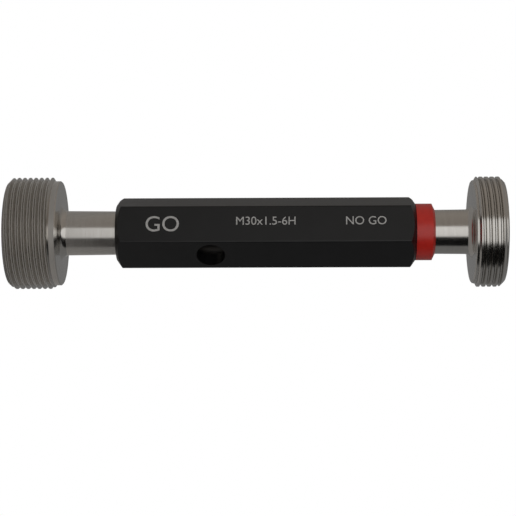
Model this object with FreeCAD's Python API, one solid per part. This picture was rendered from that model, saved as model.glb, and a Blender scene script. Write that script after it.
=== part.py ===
import FreeCAD, Part

import math
import os

# Double-ended thread plug gauge, M30 x 1.5 - 6H: a GO member and a NO-GO member, each
# held by a 1:50 taper in a hexagonal handle, with a red ring that marks the NO-GO end.
# Each gauging disc is the ground blank that its fine thread is cut in: the crests lie on
# its rim, and its lead chamfer, shoulder and land are set by the depth of the thread.
#
# Frame, in millimetres: the origin is the centre of the GO end face, on which the gauge
# stands, and +Z runs up its axis to the NO-GO end. One flat of the handle faces -Y.

# ---- Thread size ----
thread_pitch = 1.5
flank_half_angle = 30.0          # degrees, half of the 60-degree metric profile
go_major_dia = 30.018
nogo_pitch_dia = 29.233

# Proportions of the ISO metric profile, each a share of the pitch
go_depth_share = 0.61343         # depth of the GO member's full-form thread
nogo_crest_rise_share = 0.1      # height of the shortened NO-GO crest over the pitch line
nogo_floor_drop_share = 0.5      # depth of its clearance slot below the pitch line

# ---- Gauging discs ----
go_disc_length = 14.0
nogo_disc_length = 8.5
go_land_length = 1.65            # plain land behind the thread
nogo_land_length = 0.65
land_clearance = 0.05            # how far each land lies below the thread's root
lead_chamfer_drop = 0.40         # how far below the root the 45-degree end chamfer starts
land_edge_chamfer = 0.25

# ---- Neck and taper shank ----
neck_dia = 12.0                  # where the neck leaves the disc
neck_length = 15.0               # disc to handle
neck_fillet = 1.8
taper_ratio = 50.0               # length per unit of diameter: 1:50
shank_end_chamfer = 0.5

# ---- Centre holes in the end faces, from grinding between centres ----
centre_hole_dia = 2.5
centre_hole_depth = 5.0          # from the end face to the bottom of the drilled part
centre_cone_dia = 5.3
centre_cone_half_angle = 30.0    # degrees

# ---- Handle ----
handle_length = 80.0
handle_flats = 17.0              # across flats
handle_corner_radius = 0.5
handle_end_dia = 15.0            # circle that the end chamfer leaves on the end face
handle_chamfer_angle = 35.0      # degrees between the chamfer and the end face
handle_bore_dia = 11.3           # through bore between the two taper sockets
drift_hole_dia = 7.6
drift_hole_from_end = 25.4       # centre of the hole, from the handle's GO end
drift_hole_flat = 1              # flats to turn from the one that faces -Y
shank_gap = 0.5                  # from a shank's end to the edge of the drift hole

# ---- NO-GO ring ----
ring_length = 5.0
ring_wall = 1.72                 # radial, at the handle
ring_chamfer_length = 0.7
ring_chamfer_depth = 1.4
ring_clearance = 0.03            # radial, between the ring's bore and the neck

# ---- Values that follow ----
flank_slope = math.tan(math.radians(flank_half_angle))
go_crest_radius = go_major_dia / 2
go_root_radius = go_crest_radius - go_depth_share * thread_pitch
nogo_crest_radius = nogo_pitch_dia / 2 + nogo_crest_rise_share * thread_pitch
nogo_root_radius = nogo_pitch_dia / 2 - nogo_floor_drop_share * thread_pitch
shank_length = drift_hole_from_end - drift_hole_dia / 2 - shank_gap
member_stub = neck_length + shank_length
handle_bottom = go_disc_length + neck_length
handle_top = handle_bottom + handle_length
total_length = handle_top + neck_length + nogo_disc_length


def turned(points, hollow=None):
    """Turn a closed half section of (radius, height) points about the Z axis.

    The side that starts at the point `hollow` is a quarter round; the rest are straight.
    """
    sides = []
    for start, end in zip(points, points[1:] + points[:1]):
        if start == hollow:
            sides.append(as_spline(quarter_round(start, end)))
        elif is_slow_taper(start, end):
            sides.append(as_spline(straight_side(start, end)))
        else:
            sides.append(straight_side(start, end))
    section = Part.Face(Part.Wire(sides))
    return section.revolve(FreeCAD.Vector(), FreeCAD.Vector(0, 0, 1), 360)


def straight_side(start, end):
    """A line between two (radius, height) points."""
    return Part.makeLine(FreeCAD.Vector(start[0], 0, start[1]),
                         FreeCAD.Vector(end[0], 0, end[1]))


def quarter_round(start, end):
    """A hollow quarter circle that leaves `start` along a face and meets a neck at `end`."""
    radius = start[0] - end[0]
    reach = radius * (1 - math.sqrt(0.5))
    middle = FreeCAD.Vector(end[0] + reach, 0, start[1] + reach)
    return Part.Arc(FreeCAD.Vector(start[0], 0, start[1]), middle,
                    FreeCAD.Vector(end[0], 0, end[1])).toShape()


def is_slow_taper(start, end):
    """True for a side as slow as the 1:50 taper."""
    return 0 < abs(end[0] - start[0]) * taper_ratio <= abs(end[1] - start[1])


def as_spline(side):
    """The same side as a spline, which turns to a surface of fewer facets."""
    return side.toNurbs().Edges[0]


def neck_radius(distance):
    """Radius of the 1:50 taper at a distance behind the disc."""
    return neck_dia / 2 - distance / (2 * taper_ratio)


def gauging_member(crest_radius, root_radius, disc_length, land_length):
    """Gauging disc, neck and taper shank in one piece, its end face at Z = 0."""
    face_radius = root_radius - lead_chamfer_drop
    land_radius = root_radius - land_clearance
    land_start = disc_length - land_length
    shank_end = disc_length + member_stub
    tip_radius = neck_radius(member_stub)
    foot_radius = neck_radius(neck_fillet)
    foot_start = (foot_radius + neck_fillet, disc_length)
    blank = turned([
        (0, 0),
        (face_radius, 0),
        (crest_radius, crest_radius - face_radius),
        (crest_radius, land_start - (crest_radius - land_radius) * flank_slope),
        (land_radius, land_start),
        (land_radius, disc_length),
        foot_start,
        (foot_radius, disc_length + neck_fillet),
        (tip_radius, shank_end),
        (0, shank_end),
    ], hollow=foot_start)
    blank = blank.makeChamfer(land_edge_chamfer, circles(blank, disc_length, land_radius))
    blank = blank.makeChamfer(shank_end_chamfer, circles(blank, shank_end, tip_radius))
    return blank.cut(centre_hole())


def circles(shape, height, radius):
    """The circular edges of a shape at a height and of a radius."""
    found = []
    for edge in shape.Edges:
        if isinstance(edge.Curve, Part.Circle):
            at_height = abs(edge.Curve.Center.z - height) < 1e-6
            if at_height and abs(edge.Curve.Radius - radius) < 1e-6:
                found.append(edge)
    return found


def centre_hole():
    """A centre hole with its drilled end, opening at Z = 0."""
    cone_slope = math.tan(math.radians(centre_cone_half_angle))
    cone_depth = (centre_cone_dia - centre_hole_dia) / 2 / cone_slope
    return turned([
        (0, 0),
        (centre_cone_dia / 2, 0),
        (centre_hole_dia / 2, cone_depth),
        (centre_hole_dia / 2, centre_hole_depth),
        (0, centre_hole_depth),
    ])


def hexagon_bar():
    """Hexagon bar with rounded corners, one flat towards -Y, from Z = 0 upwards."""
    corner_reach = handle_flats / 2 / math.cos(math.radians(30))
    corners = []
    for number in range(7):
        angle = math.radians(60 * number)
        corners.append(FreeCAD.Vector(corner_reach * math.cos(angle),
                                      corner_reach * math.sin(angle), 0))
    bar = Part.Face(Part.makePolygon(corners)).extrude(FreeCAD.Vector(0, 0, handle_length))
    edges = [edge for edge in bar.Edges if abs(edge.Length - handle_length) < 1e-6]
    long_edges = [edge for edge in edges if abs(edge.tangentAt(0).z) > 0.99]
    return bar.makeFillet(handle_corner_radius, long_edges)


def end_chamfer_envelope():
    """The turned outline that cuts the bar's corners back at both ends."""
    end_radius = handle_end_dia / 2
    reach = handle_flats
    rise = (reach - end_radius) * math.tan(math.radians(handle_chamfer_angle))
    return turned([
        (0, 0),
        (end_radius, 0),
        (reach, rise),
        (reach, handle_length - rise),
        (end_radius, handle_length),
        (0, handle_length),
    ])


def taper_socket():
    """The taper that a shank seats in, opening at Z = 0."""
    depth = taper_ratio * (2 * neck_radius(neck_length) - handle_bore_dia)
    return turned([
        (0, 0),
        (neck_radius(neck_length), 0),
        (handle_bore_dia / 2, depth),
        (0, depth),
    ])


def make_handle():
    """Chamfered hexagon bar with a through bore, two taper sockets and a drift hole."""
    bar = hexagon_bar().common(end_chamfer_envelope())
    bore = Part.makeCylinder(handle_bore_dia / 2, handle_length)
    far_socket = taper_socket().mirror(FreeCAD.Vector(0, 0, handle_length / 2),
                                       FreeCAD.Vector(0, 0, 1))
    drift_hole = Part.makeCylinder(drift_hole_dia / 2, 2 * handle_flats,
                                   FreeCAD.Vector(0, -handle_flats, drift_hole_from_end),
                                   FreeCAD.Vector(0, 1, 0))
    drift_hole.rotate(FreeCAD.Vector(), FreeCAD.Vector(0, 0, 1), 60 * drift_hole_flat)
    handle = bar.cut([bore, taper_socket(), far_socket, drift_hole])
    handle.translate(FreeCAD.Vector(0, 0, handle_bottom))
    return handle


def make_nogo_ring():
    """Plastic ring on the NO-GO neck, seated on the handle's end face."""
    bottom = neck_length
    top = neck_length - ring_length
    bore_radius = neck_radius(bottom) + ring_clearance
    rim = bore_radius + ring_wall
    ring = turned([
        (bore_radius, bottom),
        (rim, bottom),
        (rim, top + ring_chamfer_length),
        (rim - ring_chamfer_depth, top),
        (neck_radius(top) + ring_clearance, top),
    ])
    return facing_down(ring, total_length - nogo_disc_length)


def facing_down(shape, height):
    """Turn a shape end over end about the Y axis and set its origin at a height."""
    shape.rotate(FreeCAD.Vector(), FreeCAD.Vector(0, 1, 0), 180)
    shape.translate(FreeCAD.Vector(0, 0, height))
    return shape


def make_go_member():
    """GO member: the longer disc, for a full-form thread, standing on its end face."""
    return gauging_member(go_crest_radius, go_root_radius, go_disc_length, go_land_length)


def make_nogo_member():
    """NO-GO member: the shorter disc, for a shortened thread, its end face up."""
    member = gauging_member(nogo_crest_radius, nogo_root_radius, nogo_disc_length,
                            nogo_land_length)
    return facing_down(member, total_length)


pieces = {
    "go_member": make_go_member,
    "handle": make_handle,
    "nogo_ring": make_nogo_ring,
    "nogo_member": make_nogo_member,
}

os.makedirs("parts", exist_ok=True)
for name, make in pieces.items():
    solid = make().Solids[0]
    solid.exportStep(f"parts/{name}.step")
    print(f"{name}: volume {solid.Volume:.1f} mm3, valid {solid.isValid()}")
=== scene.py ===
# %% [markdown]
# # A double-ended thread plug gauge
#
# The gauge has four pieces: a GO member and a NO-GO member of hardened and ground steel,
# a handle of black anodised aluminium, and a red plastic ring that marks the NO-GO end.
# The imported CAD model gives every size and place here. The handle and the ring keep
# their CAD shapes and get better materials. The two members are made again, because in
# CAD their discs are only the blanks that the fine thread is cut in.

# %% Load the frame
import math

import bmesh
import bpy
from mathutils import Matrix, Vector


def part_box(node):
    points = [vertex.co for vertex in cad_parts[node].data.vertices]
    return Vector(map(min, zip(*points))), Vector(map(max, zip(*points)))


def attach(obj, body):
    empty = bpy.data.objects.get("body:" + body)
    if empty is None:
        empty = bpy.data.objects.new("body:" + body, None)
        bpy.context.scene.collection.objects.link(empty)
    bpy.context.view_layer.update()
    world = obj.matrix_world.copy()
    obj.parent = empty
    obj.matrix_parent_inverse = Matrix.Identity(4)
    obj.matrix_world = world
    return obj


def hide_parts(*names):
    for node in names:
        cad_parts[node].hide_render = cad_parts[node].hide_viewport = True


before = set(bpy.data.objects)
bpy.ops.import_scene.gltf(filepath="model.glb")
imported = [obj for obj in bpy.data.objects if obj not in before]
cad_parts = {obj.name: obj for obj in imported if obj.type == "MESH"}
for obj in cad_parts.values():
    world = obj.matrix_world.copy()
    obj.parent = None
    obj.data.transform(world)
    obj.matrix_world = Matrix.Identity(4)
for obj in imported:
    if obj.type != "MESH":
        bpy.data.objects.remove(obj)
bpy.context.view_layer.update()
scene = bpy.context.scene
MM = 0.001

# %% [markdown]
# ## Sizes
#
# The outside sizes are read from the frame's nodes, so the looks follow the CAD model if
# it changes. Only what a box can't tell is stated here: the form of the thread and the
# steps of the turned members. The thread is M30 x 1.5: a full-form V groove on the GO
# member, and on the NO-GO member a groove with shortened flanks and a slot at its foot.

# %% Sizes from the frame
go_high = Vector(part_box("go_member")[1])
nogo_high = Vector(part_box("nogo_member")[1])
handle_low, handle_high = (Vector(corner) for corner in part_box("handle"))
GO_CREST = go_high.x
NOGO_CREST = nogo_high.x
GAUGE_TOP = nogo_high.z
HANDLE_LOW = handle_low.z
HANDLE_TOP = handle_high.z

# %% Sizes of the thread
PITCH = 1.5 * MM
FLANK_SLOPE = math.tan(math.radians(30))
GO_DEPTH = 0.61343 * PITCH
GO_CREST_FLAT = PITCH / 8
NOGO_RISE = 0.1 * PITCH
NOGO_CREST_FLAT = PITCH / 2 - 2 * NOGO_RISE * FLANK_SLOPE
NOGO_SLOT_WIDTH = PITCH / 4
NOGO_FLANK_DEPTH = NOGO_RISE + (PITCH / 4 - NOGO_SLOT_WIDTH / 2) / FLANK_SLOPE
NOGO_DEPTH = NOGO_RISE + PITCH / 2
GO_START = math.radians(105)
NOGO_START = math.radians(142.6)

# %% Sizes of the turned members
GO_DISC = 14.0 * MM
NOGO_DISC = 8.5 * MM
GO_LAND = 1.65 * MM
NOGO_LAND = 0.65 * MM
LAND_CLEARANCE = 0.05 * MM
LEAD_DROP = 0.40 * MM
LAND_EDGE = 0.25 * MM
NECK_RADIUS = 6.0 * MM
NECK_FOOT = 1.8 * MM
TAPER_RATIO = 50.0
SHANK_END = 36.1 * MM             # from the back of a disc to the end of its shank
SHANK_CHAMFER = 0.5 * MM
print(f"gauge {GAUGE_TOP / MM:.1f} mm long, {2 * GO_CREST / MM:.3f} mm over the GO crests")

# %% [markdown]
# ## Turning a blank
#
# A gauge member starts as a bar turned in a lathe, so its blank is one half section spun
# about the axis. Three hundred and sixty steps keep the rim round even in a close view.
# The section is a list of (radius, height) points with the end face at height zero.

# %% Lathe
COLUMNS = 360


def lathe(name, section, columns=COLUMNS):
    """Spin a half section about Z into a closed mesh object."""
    points = []
    for column in range(columns):
        angle = 2 * math.pi * column / columns
        points += [(r * math.cos(angle), r * math.sin(angle), z) for r, z in section]
    count = len(section)
    faces = []
    for column in range(columns):
        here = column * count
        there = (column + 1) % columns * count
        for row in range(count - 1):
            faces.append((here + row, there + row, there + row + 1, here + row + 1))
    faces.append([column * count for column in reversed(range(columns))])
    faces.append([column * count + count - 1 for column in range(columns)])
    mesh = bpy.data.meshes.new(name)
    mesh.from_pydata(points, [], faces)
    piece = bpy.data.objects.new(name, mesh)
    scene.collection.objects.link(piece)
    return piece


def neck_radius(distance):
    """Radius of the 1:50 taper at a distance behind the disc."""
    return NECK_RADIUS - distance / (2 * TAPER_RATIO)


def member_section(crest, root, disc, land):
    """Half section of a member: disc with lead chamfer and land, neck and taper shank."""
    face = root - LEAD_DROP
    land_radius = root - LAND_CLEARANCE
    land_start = disc - land
    foot = neck_radius(NECK_FOOT)
    section = [
        (face, 0),
        (crest, crest - face),
        (crest, land_start - (crest - land_radius) * FLANK_SLOPE),
        (land_radius, land_start),
        (land_radius, disc - LAND_EDGE),
        (land_radius - LAND_EDGE, disc),
    ]
    for step in range(9):
        angle = math.pi / 2 * step / 8
        section.append((foot + NECK_FOOT * (1 - math.sin(angle)),
                        disc + NECK_FOOT * (1 - math.cos(angle))))
    tip = neck_radius(SHANK_END)
    section.append((tip, disc + SHANK_END - SHANK_CHAMFER))
    section.append((tip - SHANK_CHAMFER, disc + SHANK_END))
    return section


# %% [markdown]
# ## Grinding the thread
#
# The real thread is a helical groove that a profiled wheel grinds into the blank. The
# same is done here with Geometry Nodes: a spiral is the wheel's path, a trapezium is its
# profile, Curve to Mesh sweeps the one along the other, and a Mesh Boolean takes the
# result off the blank. That leaves true edges where the groove runs out through the lead
# chamfer and the shoulder, which a displaced surface wouldn't have. The NO-GO thread is
# ground twice, once for its flanks and once for the slot at their foot.

# %% A small helper for nodes
def add_node(tree, kind, settings=None, values=None, links=None):
    """Add a node, set its properties and input values, and link its inputs."""
    node = tree.nodes.new(kind)
    for name, value in (settings or {}).items():
        setattr(node, name, value)
    for name, value in (values or {}).items():
        node.inputs[name].default_value = value
    for name, source in (links or {}).items():
        tree.links.new(source, node.inputs[name])
    return node


# %% The groove tree
GROOVE_INPUTS = ("Mouth radius", "Mouth width", "Floor width", "Depth", "Pitch", "Turns",
                 "Start angle")
STEPS_A_TURN = 180


def maths(tree, operation, first, second):
    """A Math node on two sources or numbers, as its output."""
    node = add_node(tree, "ShaderNodeMath", {"operation": operation})
    for socket, source in zip(node.inputs, (first, second)):
        if isinstance(source, (int, float)):
            socket.default_value = source
        else:
            tree.links.new(source, socket)
    return node.outputs[0]


def make_groove_tree():
    """Geometry Nodes that cut one right-hand helical groove into a blank."""
    tree = bpy.data.node_groups.new("ground thread groove", "GeometryNodeTree")
    tree.interface.new_socket("Blank", in_out="INPUT", socket_type="NodeSocketGeometry")
    for name in GROOVE_INPUTS:
        tree.interface.new_socket(name, in_out="INPUT", socket_type="NodeSocketFloat")
    tree.interface.new_socket("Steel", in_out="INPUT", socket_type="NodeSocketMaterial")
    tree.interface.new_socket("Member", in_out="OUTPUT", socket_type="NodeSocketGeometry")
    given = add_node(tree, "NodeGroupInput").outputs

    middle = maths(tree, "SUBTRACT", given["Mouth radius"],
                   maths(tree, "MULTIPLY", given["Depth"], 0.5))
    path = add_node(tree, "GeometryNodeCurveSpiral", {}, {"Resolution": STEPS_A_TURN,
                    "Reverse": True}, {
        "Rotations": given["Turns"],
        "Start Radius": middle,
        "End Radius": middle,
        "Height": maths(tree, "MULTIPLY", given["Turns"], given["Pitch"]),
    })
    upright = add_node(tree, "GeometryNodeSetCurveNormal", {"mode": "Z_UP"}, {},
                       {"Curve": path.outputs[0]})
    profile = add_node(tree, "GeometryNodeCurvePrimitiveQuadrilateral",
                       {"mode": "TRAPEZOID"}, {"Offset": 0.0}, {
        "Bottom Width": given["Floor width"],
        "Top Width": given["Mouth width"],
        "Height": given["Depth"],
    })
    turned_profile = add_node(tree, "GeometryNodeTransform", {},
                              {"Rotation": (0, 0, math.radians(-90))},
                              {"Geometry": profile.outputs[0]})
    sweep = add_node(tree, "GeometryNodeCurveToMesh", {}, {"Fill Caps": True}, {
        "Curve": upright.outputs[0],
        "Profile Curve": turned_profile.outputs[0],
    })
    drop = add_node(tree, "ShaderNodeCombineXYZ", {}, {},
                    {"Z": maths(tree, "MULTIPLY", given["Pitch"], -1.0)})
    turn = add_node(tree, "ShaderNodeCombineXYZ", {}, {}, {"Z": given["Start angle"]})
    placed = add_node(tree, "GeometryNodeTransform", {}, {}, {
        "Geometry": sweep.outputs[0],
        "Translation": drop.outputs[0],
        "Rotation": turn.outputs[0],
    })
    ground = add_node(tree, "GeometryNodeMeshBoolean",
                      {"operation": "DIFFERENCE", "solver": "MANIFOLD"}, {}, {
        "Mesh 1": given["Blank"],
        "Mesh 2": placed.outputs[0],
    })
    real = add_node(tree, "GeometryNodeRealizeInstances", {}, {},
                    {"Geometry": ground.outputs[0]})
    coated = add_node(tree, "GeometryNodeSetMaterial", {}, {}, {
        "Geometry": real.outputs[0],
        "Material": given["Steel"],
    })
    result = add_node(tree, "NodeGroupOutput")
    tree.links.new(coated.outputs[0], result.inputs[0])
    return tree


# %% Running a tree on a piece
def run_tree(piece, tree, inputs):
    """Run Geometry Nodes on a piece once and keep the result as its plain mesh."""
    modifier = piece.modifiers.new("nodes", "NODES")
    modifier.node_group = tree
    for item in tree.interface.items_tree:
        if item.in_out == "INPUT" and item.name in inputs:
            modifier[item.identifier] = inputs[item.name]
    bpy.context.view_layer.update()
    graph = bpy.context.evaluated_depsgraph_get()
    result = bpy.data.meshes.new_from_object(piece.evaluated_get(graph))
    result.name = piece.name
    piece.modifiers.remove(modifier)
    piece.data = result
    return piece


def shade(piece, crease_degrees):
    """Smooth shading that keeps every edge sharper than the crease angle."""
    piece.data.shade_smooth()
    piece.data.set_sharp_from_angle(angle=math.radians(crease_degrees))


# %% [markdown]
# ## Colours
#
# Colours are written as the hex values that a colour picker shows. Blender works in
# linear light, so one function converts them.

# %% Hex to linear
def linear(code):
    """Linear RGBA of an sRGB hex colour."""
    channels = [int(code[place:place + 2], 16) / 255 for place in (1, 3, 5)]
    values = []
    for value in channels:
        low = value <= 0.04045
        values.append(value / 12.92 if low else ((value + 0.055) / 1.055) ** 2.4)
    return (*values, 1.0)


# %% [markdown]
# ## Hardened and ground steel
#
# Both members are hardened tool steel, ground between centres. The wheel leaves very
# fine lines that run round the axis on every face, so the pattern is a noise that
# changes fast with radius and height and hardly at all round the axis. Real grinding
# lines are a few hundredths of a millimetre apart. Here they are drawn at about a
# quarter of a millimetre, as coarse as they need to be to show.

# %% Material: hardened ground steel
def make_ground_steel():
    """Metal with fine lines round the axis in its height and colour, and patchy roughness.
    """
    steel = bpy.data.materials.new("hardened_ground_steel")
    steel.use_nodes = True
    tree = steel.node_tree
    shader = tree.nodes["Principled BSDF"]
    shader.inputs["Metallic"].default_value = 1.0
    place = add_node(tree, "ShaderNodeTexCoord").outputs["Object"]
    axes = add_node(tree, "ShaderNodeSeparateXYZ", {}, {}, {"Vector": place}).outputs
    radius = maths(tree, "SQRT", maths(tree, "ADD", maths(tree, "POWER", axes["X"], 2.0),
                                       maths(tree, "POWER", axes["Y"], 2.0)), 0.0)
    angle = maths(tree, "ARCTAN2", axes["Y"], axes["X"])
    lines = add_node(tree, "ShaderNodeCombineXYZ", {}, {}, {
        "X": maths(tree, "MULTIPLY", radius, 4.0 / MM),
        "Y": maths(tree, "MULTIPLY", axes["Z"], 4.0 / MM),
        "Z": maths(tree, "MULTIPLY", angle, 0.7),
    })
    grinding = add_node(tree, "ShaderNodeTexNoise", {},
                        {"Scale": 1.0, "Detail": 3.0, "Roughness": 0.6},
                        {"Vector": lines.outputs[0]})
    cloud = add_node(tree, "ShaderNodeTexNoise", {},
                     {"Scale": 0.25 / MM, "Detail": 2.0}, {"Vector": place})
    tone = add_node(tree, "ShaderNodeMix", {"data_type": "RGBA"}, {
        "A": linear("#B9B5AF"),
        "B": linear("#D2CFCA"),
    }, {"Factor": grinding.outputs["Fac"]})
    tree.links.new(tone.outputs["Result"], shader.inputs["Base Color"])
    gloss = add_node(tree, "ShaderNodeMapRange", {},
                     {"To Min": 0.13, "To Max": 0.24}, {"Value": cloud.outputs["Fac"]})
    tree.links.new(gloss.outputs[0], shader.inputs["Roughness"])
    bump = add_node(tree, "ShaderNodeBump", {},
                    {"Strength": 0.12, "Distance": 0.02 * MM},
                    {"Height": grinding.outputs["Fac"]})
    tree.links.new(bump.outputs[0], shader.inputs["Normal"])
    return steel


ground_steel = make_ground_steel()
print("material:", ground_steel.name)

# %% [markdown]
# ## The two members
#
# Each member is turned and then ground with its end face at height zero. The GO member
# already stands that way. The NO-GO member is turned end over end, and a half turn about
# Y keeps its right-hand thread right-handed, which a mirror wouldn't.

# %% Make the members
WHEEL_REACH = 0.05 * MM


def grind(blank, crest, mouth, depth, floor_width, start, length):
    """Cut one helical groove, its flanks carried on to the wheel's edge past the crest."""
    flare = (mouth - floor_width) / depth
    return run_tree(blank, groove_tree, {
        "Mouth radius": crest + WHEEL_REACH,
        "Mouth width": mouth + flare * WHEEL_REACH,
        "Floor width": floor_width,
        "Depth": depth + WHEEL_REACH,
        "Pitch": PITCH,
        "Turns": math.ceil(length / PITCH) + 2.0,
        "Start angle": start,
        "Steel": ground_steel,
    })


groove_tree = make_groove_tree()
go_section = member_section(GO_CREST, GO_CREST - GO_DEPTH, GO_DISC, GO_LAND)
go_piece = lathe("threaded_go_member", go_section)
go_floor = PITCH - GO_CREST_FLAT - 2 * GO_DEPTH * FLANK_SLOPE
grind(go_piece, GO_CREST, PITCH - GO_CREST_FLAT, GO_DEPTH, go_floor, GO_START, GO_DISC)
shade(go_piece, 25)
print("GO member faces:", len(go_piece.data.polygons))

nogo_section = member_section(NOGO_CREST, NOGO_CREST - NOGO_DEPTH, NOGO_DISC, NOGO_LAND)
nogo_piece = lathe("threaded_nogo_member", nogo_section)
grind(nogo_piece, NOGO_CREST, PITCH - NOGO_CREST_FLAT, NOGO_FLANK_DEPTH, NOGO_SLOT_WIDTH,
      NOGO_START, NOGO_DISC)
grind(nogo_piece, NOGO_CREST, NOGO_SLOT_WIDTH, NOGO_DEPTH, NOGO_SLOT_WIDTH,
      NOGO_START, NOGO_DISC)
upside_down = Matrix.Translation((0, 0, GAUGE_TOP)) @ Matrix.Rotation(math.pi, 4, "Y")
nogo_piece.data.transform(upside_down)
shade(nogo_piece, 25)
print("NO-GO member faces:", len(nogo_piece.data.polygons))

for piece, node in ((go_piece, "go_member"), (nogo_piece, "nogo_member")):
    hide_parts(node)
    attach(piece, "root")

# %% [markdown]
# ## Black anodised aluminium
#
# The handle is a drawn hexagon bar, anodised black. Anodising turns the surface into a
# hard, dyed oxide, which shines like dark glass rather than like metal and is dullest
# where the drawn grain runs along the bar.

# %% Material: black anodised aluminium
def make_anodised():
    """Dark satin oxide with faint grain along the bar."""
    oxide = bpy.data.materials.new("black_anodised_aluminium")
    oxide.use_nodes = True
    tree = oxide.node_tree
    shader = tree.nodes["Principled BSDF"]
    shader.inputs["Metallic"].default_value = 0.0
    shader.inputs["IOR"].default_value = 1.6
    shader.inputs["Specular IOR Level"].default_value = 0.3
    place = add_node(tree, "ShaderNodeTexCoord").outputs["Object"]
    grain_space = add_node(tree, "ShaderNodeMapping", {}, {"Scale": (3.0, 3.0, 0.12)},
                           {"Vector": place})
    grain = add_node(tree, "ShaderNodeTexNoise", {},
                     {"Scale": 1.0 / MM, "Detail": 4.0, "Roughness": 0.65},
                     {"Vector": grain_space.outputs[0]})
    blotch = add_node(tree, "ShaderNodeTexNoise", {},
                      {"Scale": 0.15 / MM, "Detail": 2.0}, {"Vector": place})
    tone = add_node(tree, "ShaderNodeMix", {"data_type": "RGBA"}, {
        "A": linear("#0C0C0D"),
        "B": linear("#161617"),
    }, {"Factor": blotch.outputs["Fac"]})
    tree.links.new(tone.outputs["Result"], shader.inputs["Base Color"])
    gloss = add_node(tree, "ShaderNodeMapRange", {},
                     {"To Min": 0.26, "To Max": 0.40}, {"Value": grain.outputs["Fac"]})
    tree.links.new(gloss.outputs[0], shader.inputs["Roughness"])
    bump = add_node(tree, "ShaderNodeBump", {},
                    {"Strength": 0.15, "Distance": 0.01 * MM},
                    {"Height": grain.outputs["Fac"]})
    tree.links.new(bump.outputs[0], shader.inputs["Normal"])
    return oxide


def dress(node, material):
    """Give a CAD node one material."""
    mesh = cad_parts[node].data
    mesh.materials.clear()
    mesh.materials.append(material)


dress("handle", make_anodised())
print("handle dressed")

# %% [markdown]
# ## Red plastic
#
# The ring is a moulded band. Red pigment in a clear plastic lets a little light in before
# it comes back, and the mould leaves a soft gloss.

# %% Material: moulded red plastic
def make_red_plastic():
    """Pigmented plastic with a soft gloss and slight mottling."""
    plastic = bpy.data.materials.new("moulded_red_abs")
    plastic.use_nodes = True
    tree = plastic.node_tree
    shader = tree.nodes["Principled BSDF"]
    shader.inputs["IOR"].default_value = 1.53
    shader.inputs["Roughness"].default_value = 0.35
    place = add_node(tree, "ShaderNodeTexCoord").outputs["Object"]
    mottle = add_node(tree, "ShaderNodeTexNoise", {},
                      {"Scale": 0.6 / MM, "Detail": 3.0}, {"Vector": place})
    tone = add_node(tree, "ShaderNodeMix", {"data_type": "RGBA"}, {
        "A": linear("#C5221B"),
        "B": linear("#DC3427"),
    }, {"Factor": mottle.outputs["Fac"]})
    tree.links.new(tone.outputs["Result"], shader.inputs["Base Color"])
    bump = add_node(tree, "ShaderNodeBump", {},
                    {"Strength": 0.1, "Distance": 0.02 * MM},
                    {"Height": mottle.outputs["Fac"]})
    tree.links.new(bump.outputs[0], shader.inputs["Normal"])
    return plastic


dress("nogo_ring", make_red_plastic())
print("ring dressed")

# %% [markdown]
# ## Marks on the handle
#
# The marks are etched through the black oxide, so they show the pale metal under it. They
# stand on the marked flat and say only which end is which and the size of the thread.

# %% Etched marks
MARKS = (
    ("GO", 6.0 * MM, 37.0 * MM, -1.9 * MM),
    ("M30x1.5-6H", 3.2 * MM, 61.0 * MM, -0.2 * MM),
    ("NO GO", 3.2 * MM, 90.0 * MM, -0.2 * MM),
)
MARK_RISE = 0.01 * MM
READ_UP_THE_BAR = Matrix(((0, -1, 0), (0, 0, -1), (1, 0, 0))).to_euler()


def make_marks_tree(bare_metal):
    """Geometry Nodes that write each mark as thin closed letters on the -Y flat."""
    tree = bpy.data.node_groups.new("etched marks", "GeometryNodeTree")
    tree.interface.new_socket("Flat", in_out="INPUT", socket_type="NodeSocketFloat")
    tree.interface.new_socket("Marks", in_out="OUTPUT", socket_type="NodeSocketGeometry")
    given = add_node(tree, "NodeGroupInput").outputs
    words = add_node(tree, "GeometryNodeJoinGeometry")
    for text, size, height, drop in MARKS:
        word = add_node(tree, "GeometryNodeStringToCurves", {},
                        {"String": text, "Size": size})
        placed = add_node(tree, "GeometryNodeTransform", {},
                          {"Translation": (height, drop, 0)},
                          {"Geometry": word.outputs[0]})
        tree.links.new(placed.outputs[0], words.inputs[0])
    real = add_node(tree, "GeometryNodeRealizeInstances", {}, {},
                    {"Geometry": words.outputs[0]})
    sheet = add_node(tree, "GeometryNodeFillCurve", {}, {}, {"Curve": real.outputs[0]})
    raised = add_node(tree, "GeometryNodeExtrudeMesh", {},
                      {"Offset Scale": MARK_RISE, "Individual": False},
                      {"Mesh": sheet.outputs[0]})
    back = add_node(tree, "GeometryNodeFlipFaces", {}, {}, {"Mesh": sheet.outputs[0]})
    both = add_node(tree, "GeometryNodeJoinGeometry", {}, {},
                    {"Geometry": raised.outputs["Mesh"]})
    tree.links.new(back.outputs[0], both.inputs[0])
    closed = add_node(tree, "GeometryNodeMergeByDistance", {},
                      {"Distance": MARK_RISE / 10}, {"Geometry": both.outputs[0]})
    flat = add_node(tree, "ShaderNodeCombineXYZ", {}, {}, {"Y": given["Flat"]})
    upright = add_node(tree, "GeometryNodeTransform", {},
                       {"Rotation": READ_UP_THE_BAR},
                       {"Geometry": closed.outputs[0], "Translation": flat.outputs[0]})
    coated = add_node(tree, "GeometryNodeSetMaterial", {}, {"Material": bare_metal},
                      {"Geometry": upright.outputs[0]})
    result = add_node(tree, "NodeGroupOutput")
    tree.links.new(coated.outputs[0], result.inputs[0])
    return tree


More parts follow.
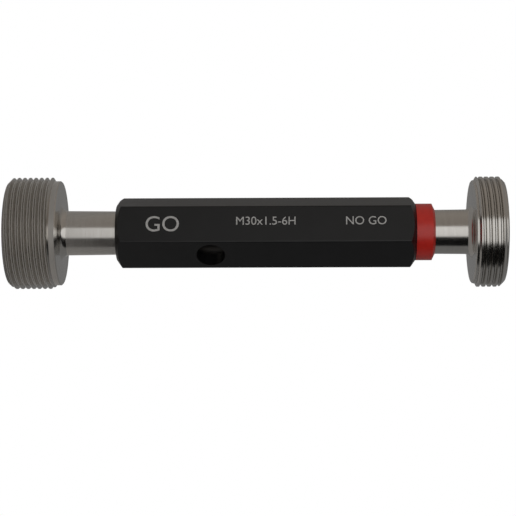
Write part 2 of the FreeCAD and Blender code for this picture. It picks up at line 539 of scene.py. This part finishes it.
def make_bare_metal():
    """Dull pale metal that the etching lays bare."""
    metal = bpy.data.materials.new("etched_bare_aluminium")
    metal.use_nodes = True
    tree = metal.node_tree
    shader = tree.nodes["Principled BSDF"]
    place = add_node(tree, "ShaderNodeTexCoord").outputs["Object"]
    pits = add_node(tree, "ShaderNodeTexNoise", {},
                    {"Scale": 2.5 / MM, "Detail": 2.0}, {"Vector": place})
    tone = add_node(tree, "ShaderNodeMix", {"data_type": "RGBA"}, {
        "A": linear("#A2A19F"),
        "B": linear("#D6D5D3"),
    }, {"Factor": pits.outputs["Fac"]})
    tree.links.new(tone.outputs["Result"], shader.inputs["Base Color"])
    shader.inputs["Roughness"].default_value = 0.6
    return metal


marks = bpy.data.objects.new("etched_marks", bpy.data.meshes.new("etched_marks"))
scene.collection.objects.link(marks)
run_tree(marks, make_marks_tree(make_bare_metal()), {"Flat": handle_low.y})
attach(marks, "root")
print("mark faces:", len(marks.data.polygons))

# %% [markdown]
# ## Floor, light and camera
#
# The gauge stands on its GO end on a white floor. The camera lies on its side, so the
# gauge runs across the picture.

# %% Floor
FLOOR_RADIUS = 0.35


def make_floor():
    """A pale round floor that shows as white to the camera."""
    mesh = bpy.data.meshes.new("floor")
    rim = []
    for step in range(96):
        angle = 2 * math.pi * step / 96
        rim.append((FLOOR_RADIUS * math.cos(angle), FLOOR_RADIUS * math.sin(angle), 0))
    mesh.from_pydata(rim, [], [list(range(96))])
    floor = bpy.data.objects.new("floor", mesh)
    scene.collection.objects.link(floor)
    paper = bpy.data.materials.new("white_paper")
    paper.use_nodes = True
    tree = paper.node_tree
    shader = tree.nodes["Principled BSDF"]
    shader.inputs["Base Color"].default_value = linear("#F2F2F2")
    shader.inputs["Roughness"].default_value = 0.9
    seen = add_node(tree, "ShaderNodeLightPath").outputs["Is Camera Ray"]
    glow = add_node(tree, "ShaderNodeEmission", {}, {"Color": (1, 1, 1, 1)})
    blend = add_node(tree, "ShaderNodeMixShader", {}, {}, {"Fac": seen})
    tree.links.new(shader.outputs[0], blend.inputs[1])
    tree.links.new(glow.outputs[0], blend.inputs[2])
    tree.links.new(blend.outputs[0], tree.nodes["Material Output"].inputs["Surface"])
    mesh.materials.append(paper)
    return floor


make_floor()

# %% Camera
VIEW_AZIMUTH = math.radians(14.6)
VIEW_ELEVATION = math.radians(1.27)
VIEW_ROLL = math.radians(-0.2)
VIEW_DISTANCE = 420 * MM
VIEW_ANGLE = math.radians(18.77)
AIM_HEIGHT = 66.8 * MM
AIM_ASIDE = 6.85 * MM

back = Vector((math.sin(VIEW_AZIMUTH) * math.cos(VIEW_ELEVATION),
               -math.cos(VIEW_AZIMUTH) * math.cos(VIEW_ELEVATION),
               math.sin(VIEW_ELEVATION)))
aside = Vector((math.cos(VIEW_AZIMUTH), math.sin(VIEW_AZIMUTH), 0))
aim = aside * AIM_ASIDE + Vector((0, 0, AIM_HEIGHT))
right = (Vector((0, 0, 1)) - back * back.z).normalized()
right = Matrix.Rotation(VIEW_ROLL, 3, back) @ right
up = back.cross(right)
lens = bpy.data.cameras.new("camera")
lens.angle = VIEW_ANGLE
lens.clip_start = 0.01
camera = bpy.data.objects.new("camera", lens)
camera.matrix_world = Matrix.Translation(aim + back * VIEW_DISTANCE) @ Matrix(
    (right, up, back)).transposed().to_4x4()
scene.collection.objects.link(camera)
scene.camera = camera
print("camera at", [round(value, 4) for value in camera.location])

# %% World
SURROUNDINGS = (
    (-180, "#7B7B7B"),
    (-82, "#7B7B7B"),
    (-77, "#121212"),
    (-30, "#121212"),
    (-22, "#F4F4F4"),
    (24, "#FFFFFF"),
    (30, "#8F8983"),
    (100, "#9A948E"),
    (180, "#7B7B7B"),
)


def make_world():
    """White to the camera, and a studio with a bright and a dark side to the rest."""
    world = bpy.data.worlds.new("studio")
    world.use_nodes = True
    scene.world = world
    tree = world.node_tree
    direction = add_node(tree, "ShaderNodeTexCoord").outputs["Generated"]
    facing = add_node(tree, "ShaderNodeMapping", {},
                      {"Rotation": (0, 0, -VIEW_AZIMUTH)}, {"Vector": direction})
    axes = add_node(tree, "ShaderNodeSeparateXYZ", {}, {},
                    {"Vector": facing.outputs[0]}).outputs
    turn = maths(tree, "ARCTAN2", maths(tree, "MULTIPLY", axes["X"], -1.0),
                 maths(tree, "MULTIPLY", axes["Y"], -1.0))
    share = add_node(tree, "ShaderNodeMapRange", {},
                     {"From Min": -math.pi, "From Max": math.pi}, {"Value": turn})
    ramp = add_node(tree, "ShaderNodeValToRGB", {}, {}, {"Fac": share.outputs[0]})
    stops = ramp.color_ramp.elements
    for number, (degrees, code) in enumerate(SURROUNDINGS):
        position = (degrees + 180) / 360
        stop = stops[number] if number < 2 else stops.new(position)
        stop.position = position
        stop.color = linear(code)
    studio = tree.nodes["Background"]
    tree.links.new(ramp.outputs["Color"], studio.inputs["Color"])
    white = add_node(tree, "ShaderNodeBackground", {}, {"Color": (1, 1, 1, 1)})
    seen = add_node(tree, "ShaderNodeLightPath").outputs["Is Camera Ray"]
    blend = add_node(tree, "ShaderNodeMixShader", {}, {}, {"Fac": seen})
    tree.links.new(studio.outputs[0], blend.inputs[1])
    tree.links.new(white.outputs[0], blend.inputs[2])
    tree.links.new(blend.outputs[0], tree.nodes["World Output"].inputs["Surface"])


make_world()
scene.view_settings.view_transform = "Standard"
